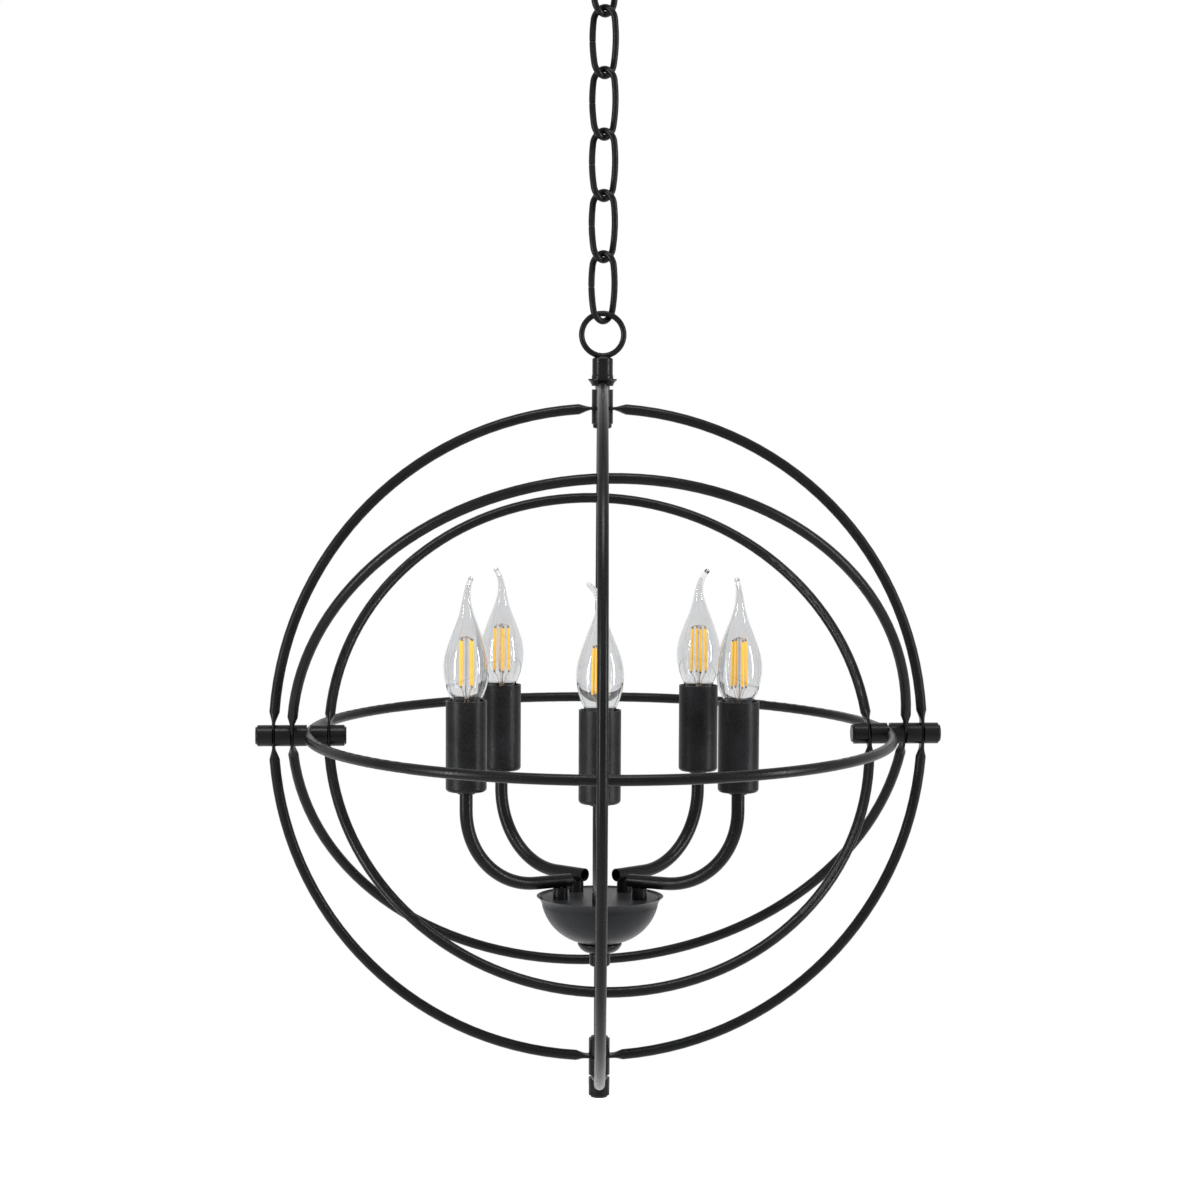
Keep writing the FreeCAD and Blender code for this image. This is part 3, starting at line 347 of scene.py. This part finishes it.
def link_path(radius, half, twist, seam):
    """An oval link's centre line from one side of its seam round to the other, twisted end to end."""
    crown = half + radius
    bend = math.pi * radius
    total = 2 * bend + 4 * half
    points = []
    for i in range(LINK_STEPS + 1):
        run = seam / 2 + (total - seam) * i / LINK_STEPS
        if run <= half:
            across, up = -radius, run
        elif run <= half + bend:
            angle = (run - half) / radius
            across, up = -radius * math.cos(angle), half + radius * math.sin(angle)
        elif run <= 3 * half + bend:
            across, up = radius, half - (run - half - bend)
        elif run <= 3 * half + 2 * bend:
            angle = (run - 3 * half - bend) / radius
            across, up = radius * math.cos(angle), -half - radius * math.sin(angle)
        else:
            across, up = -radius, run - total
        turn = -twist / 2 * up / crown
        points.append(Vector((across * math.cos(turn), across * math.sin(turn), up)))
    return points


LINK_WIRE = 5.0 * MM
LINK_WIDTH = 22.6 * MM
LINK_STRAIGHT = 34.0 * MM
LINK_TWIST = math.radians(90)
LINK_STEPS = 150
LINK_SIDES = 24
SEAM = 0.5 * MM
SEAM_EDGE = 0.93       # the cut ends are a little rounded
for number in LINKS:
    node = "chain_link_%d" % number
    low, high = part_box(node)
    middle = (low + high) / 2
    path = link_path((LINK_WIDTH - LINK_WIRE) / 2, LINK_STRAIGHT / 2, LINK_TWIST, SEAM)
    radii = [LINK_WIRE / 2] * len(path)
    radii[0] = radii[-1] = LINK_WIRE / 2 * SEAM_EDGE
    link = sweep("link_%d" % number, [middle + point for point in path], radii, LINK_SIDES)
    finish_piece(link, COAT, node, "black_metal", node)


# a bulb's section up its bent axis: height, radius, how far the axis leans to the tip's side
BULB_FORM = [(0.0, 7.1, 0.0), (6.5, 7.6, 0.0), (11.5, 9.0, 0.0), (16.7, 11.5, 0.0), (22.0, 13.9, 0.0),
             (28.0, 15.8, 0.0), (35.0, 17.05, 0.0), (42.5, 17.35, 0.0), (50.0, 16.4, 0.05),
             (57.0, 14.4, 0.15), (64.0, 11.9, 0.3), (71.0, 9.2, 0.4), (78.0, 6.6, 0.2), (84.0, 4.8, -0.2),
             (90.0, 3.5, -0.2), (96.0, 2.75, 0.9), (101.0, 2.35, 3.1), (104.6, 2.1, 5.8),
             (106.6, 1.9, 7.8)]
BULB_ROWS = 110
BULB_SIDES = 48
GLASS_WALL = 0.7
# the wall thickens in the drawn tip, and the bore ends inside it
DRAWN_FROM = 92.0
DRAWN_OVER = 12.0
DRAWN_WALL = 0.5
BORE_TOP = 102.0
BORE_LEAST = 0.25
# the bead that seals the tip
BEAD_ROWS = 9
BEAD_SIDES = 24
BEAD_FROM = -60
BEAD_STEP = 18.5
BEAD_LIFT = 1.0
BEAD_LENGTH = 1.9
BEAD_RADIUS = 2.0
BEAD_LEAST = 0.05
# the glass stem inside: height, radius
STEM_FORM = [(1.0, 4.6), (4.0, 4.3), (8.0, 3.4), (12.0, 2.4), (15.5, 1.7), (17.5, 1.35), (19.0, 1.1),
             (40.0, 1.0), (62.5, 0.95), (63.3, 0.6)]
STEM_ROWS = 40
STEM_SIDES = 20
# a filament stick: how far along it, radius; its ends are given as out from the axis, up
STICKS = 4
STICK_FORM = [(0.0, 0.7), (0.01, 1.02), (0.025, 1.18), (0.25, 1.2), (0.5, 1.2), (0.75, 1.2), (0.975, 1.18),
              (0.99, 1.02), (1.0, 0.7)]
STICK_SIDES = 16
STICK_FOOT = (5.9, 27.2)
STICK_TOP = (5.6, 61.0)
STICK_LEAN = 0.35
# the clip on a stick's end: how far past the end, radius
CLIP_FORM = [(-0.3, 0.7), (0.2, 0.85), (1.3, 0.8), (1.6, 0.4)]
CLIP_SIDES = 10
CLIP_REACH = 1.5
# wires: from the top clips in to the stem's head, and from the low clips down into the stem
WIRE_SIDES = 8
TOP_WIRE = 0.3
HUB = (0.9, 63.0)
LOW_WIRE = 0.28
KNEE = (3.4, 21.5)
ROOT = (1.5, 14.5)
DEEP = (2.4, 3.0)
SAG = 0.5
LOW_ROWS = 16
# bearings of each bulb's bent tip and of its first stick, in degrees from X
TIP_BEARINGS = (180.0, 97.0, -50.0, 120.0, 65.0)
STICK_BEARINGS = (22.0, 18.0, 8.0, 8.0, 46.0)
UP = Vector((0.0, 0.0, 1.0))


def smooth(places, count):
    """Points on a smooth curve through these places, evenly spread in order."""
    out = []
    last = len(places) - 1
    for i in range(count + 1):
        where = last * i / count
        k = min(int(where), last - 1)
        f = where - k
        a, b, c, d = (places[max(0, min(last, k + j))] for j in (-1, 0, 1, 2))
        out.append(tuple(0.5 * (2 * q + (r - p) * f + (2 * p - 5 * q + 4 * r - t) * f * f
                                + (3 * q - p - 3 * r + t) * f ** 3) for p, q, r, t in zip(a, b, c, d)))
    return out


def bearing(degrees):
    angle = math.radians(degrees)
    return Vector((math.cos(angle), math.sin(angle), 0.0))


def bulb_foot(number):
    low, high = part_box("bulb_base_%d" % number)
    return Vector(((low.x + high.x) / 2, (low.y + high.y) / 2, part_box("bulb_glass_%d" % number)[0].z))


def place(foot, out, spot):
    """A place in a bulb: so far out this way, so far up."""
    return foot + (out * spot[0] + UP * spot[1]) * MM


def bulb_shell(number, foot, aside):
    """The thin glass, its bore, and the bead at the end of the bent tip."""
    form = smooth(BULB_FORM, BULB_ROWS)
    axis = [foot + (UP * z + aside * lean) * MM for z, r, lean in form]
    outer = sweep("glass_outer", axis, [r * MM for z, r, lean in form], BULB_SIDES)
    way = (axis[-1] - axis[-3]).normalized()
    turns = [math.radians(BEAD_FROM + BEAD_STEP * i) for i in range(BEAD_ROWS)]
    bead = [axis[-1] + way * (BEAD_LIFT + BEAD_LENGTH * math.sin(turn)) * MM for turn in turns]
    bead_radii = [max(BEAD_LEAST, BEAD_RADIUS * math.cos(turn)) * MM for turn in turns]
    bore = [(z + (GLASS_WALL if i == 0 else 0.0),
             r - GLASS_WALL - DRAWN_WALL * max(0.0, z - DRAWN_FROM) / DRAWN_OVER, lean)
            for i, (z, r, lean) in enumerate(form) if z < BORE_TOP]
    inner = sweep("glass_inner", [foot + (UP * z + aside * lean) * MM for z, r, lean in bore],
                  [max(BORE_LEAST, r) * MM for z, r, lean in bore], BULB_SIDES)
    inner.data.flip_normals()
    return join("glass_%d" % number, [outer, inner, sweep("glass_bead", bead, bead_radii, BEAD_SIDES)])


def top_wire(foot, out, high_end):
    crest = high_end + UP * CLIP_REACH * MM
    hub = place(foot, out, HUB)
    line = [crest, crest.lerp(hub, 0.35) + UP * 0.7 * MM, crest.lerp(hub, 0.7) + UP * 0.4 * MM, hub]
    return sweep("top_wire", line, [TOP_WIRE * MM] * len(line), WIRE_SIDES)


def low_wire(foot, out, low_end):
    heel = low_end - UP * CLIP_REACH * MM
    knee, root, deep = (place(foot, out, spot) for spot in (KNEE, ROOT, DEEP))
    line = smooth([tuple(heel), tuple(heel.lerp(knee, 0.5) - out * SAG * MM), tuple(knee), tuple(root),
                   tuple(deep)], LOW_ROWS)
    return sweep("low_wire", [Vector(spot) for spot in line], [LOW_WIRE * MM] * len(line), WIRE_SIDES)


for number in ARMS:
    foot = bulb_foot(number)
    shell = bulb_shell(number, foot, bearing(TIP_BEARINGS[number - 1]))
    finish_piece(shell, GLASS, "orb_frame", "bulb_glass", "bulb_glass_%d" % number)

    form = smooth(STEM_FORM, STEM_ROWS)
    stem = sweep("stem_%d" % number, [foot + UP * z * MM for z, r in form], [r * MM for z, r in form],
                 STEM_SIDES)
    finish_piece(stem, GLASS, "orb_frame", "bulb_glass")

    sticks, clips, wires = [], [], []
    for k in range(STICKS):
        out = bearing(STICK_BEARINGS[number - 1] + 360 / STICKS * k)
        lean = STICK_LEAN if k % 2 else -STICK_LEAN
        low_end = place(foot, out, STICK_FOOT)
        high_end = place(foot, out, (STICK_TOP[0] + lean, STICK_TOP[1]))
        run = high_end - low_end
        sticks.append(sweep("stick", [low_end + run * f for f, r in STICK_FORM],
                            [r * MM for f, r in STICK_FORM], STICK_SIDES))
        for stick_end, way in ((low_end, -1), (high_end, 1)):
            clips.append(sweep("clip", [stick_end + run.normalized() * way * f * MM for f, r in CLIP_FORM],
                               [r * MM for f, r in CLIP_FORM], CLIP_SIDES))
        wires.append(top_wire(foot, out, high_end))
        wires.append(low_wire(foot, out, low_end))
    finish_piece(join("sticks_%d" % number, sticks), PHOSPHOR_PAINTED_GLOW, "orb_frame", "filament",
                 "bulb_filament_%d" % number)
    finish_piece(join("stick_clips_%d" % number, clips), CLIP, "orb_frame", "filament")
    finish_piece(join("lead_wires_%d" % number, wires), LEAD, "orb_frame", "filament")


# ---------------------------------------------------------------------------------------
# Studio: white surround, pale floor far below, soft lamps, and the photograph's camera
# ---------------------------------------------------------------------------------------
SURROUND = 0.3


def seen_or_lit(tree, seen, lit):
    """One number for rays that show the backdrop, another for the light it gives."""
    path = tree.nodes.new("ShaderNodeLightPath")
    total = path.outputs["Is Camera Ray"]
    for kind in ("Is Glossy Ray", "Is Transmission Ray"):
        add = tree.nodes.new("ShaderNodeMath")
        add.operation = "MAXIMUM"
        tree.links.new(total, add.inputs[0])
        tree.links.new(path.outputs[kind], add.inputs[1])
        total = add.outputs[0]
    choose = tree.nodes.new("ShaderNodeMapRange")
    choose.inputs["To Min"].default_value = lit
    choose.inputs["To Max"].default_value = seen
    tree.links.new(total, choose.inputs["Value"])
    return choose.outputs["Result"]


world = bpy.data.worlds.new("studio")
world.use_nodes = True
bpy.context.scene.world = world
background = world.node_tree.nodes["Background"]
background.inputs["Color"].default_value = (1.0, 1.0, 1.0, 1.0)
world.node_tree.links.new(seen_or_lit(world.node_tree, 1.0, SURROUND), background.inputs["Strength"])

FLOOR_DROP = 1.35
FLOOR_SIZE = 9.0
FLOOR_GLOW = 0.95
bpy.ops.mesh.primitive_plane_add(size=FLOOR_SIZE, location=(0.0, 0.0, ORB.z - FLOOR_DROP))
floor = bpy.context.object
floor.name = "floor"
floor_look = bpy.data.materials.new("pale_floor")
floor_look.use_nodes = True
tree = floor_look.node_tree
tree.nodes.clear()
matte = tree.nodes.new("ShaderNodeBsdfDiffuse")
matte.inputs["Color"].default_value = (0.8, 0.8, 0.8, 1.0)
glow = tree.nodes.new("ShaderNodeEmission")
tree.links.new(seen_or_lit(tree, FLOOR_GLOW, 0.0), glow.inputs["Strength"])
both = tree.nodes.new("ShaderNodeAddShader")
tree.links.new(matte.outputs[0], both.inputs[0])
tree.links.new(glow.outputs[0], both.inputs[1])
tree.links.new(both.outputs[0], tree.nodes.new("ShaderNodeOutputMaterial").inputs["Surface"])
floor.data.materials.append(floor_look)


def softbox(name, spot, power, width, height):
    """A rectangular lamp at this spot from the orb's centre, turned towards it."""
    lamp = bpy.data.lights.new(name, "AREA")
    lamp.shape = "RECTANGLE"
    lamp.size, lamp.size_y = width, height
    lamp.energy = power
    item = bpy.data.objects.new(name, lamp)
    item.location = ORB + Vector(spot)
    item.rotation_euler = (-Vector(spot)).to_track_quat("-Z", "Y").to_euler()
    bpy.context.collection.objects.link(item)


softbox("left_softbox", (-2.2, -1.2, 0.3), 62.0, 0.22, 1.8)
softbox("right_softbox", (2.2, -1.0, 0.3), 52.0, 0.22, 1.8)
softbox("top_softbox", (0.0, -0.7, 2.1), 38.0, 1.3, 0.6)

# camera, from the orb's centre
CAMERA_PLACE = Vector((-0.1757, -2.1503, 0.2412))
HEADING = -4.642
PITCH = -3.647
ROLL = -0.281
FOCAL_PIXELS = 2814.16
PHOTO_WIDTH = 1200.0

eye = bpy.data.cameras.new("camera")
eye.sensor_width = 36.0
eye.lens = FOCAL_PIXELS / PHOTO_WIDTH * eye.sensor_width
camera = bpy.data.objects.new("camera", eye)
level = Matrix.Rotation(math.radians(90), 4, "X")
aim = (Matrix.Rotation(math.radians(HEADING), 4, "Z") @ Matrix.Rotation(math.radians(PITCH), 4, "X")
       @ Matrix.Rotation(math.radians(ROLL), 4, "Y"))
camera.matrix_world = Matrix.Translation(ORB + CAMERA_PLACE) @ aim @ level
bpy.context.collection.objects.link(camera)
bpy.context.scene.camera = camera
bpy.context.scene.view_settings.view_transform = "Standard"
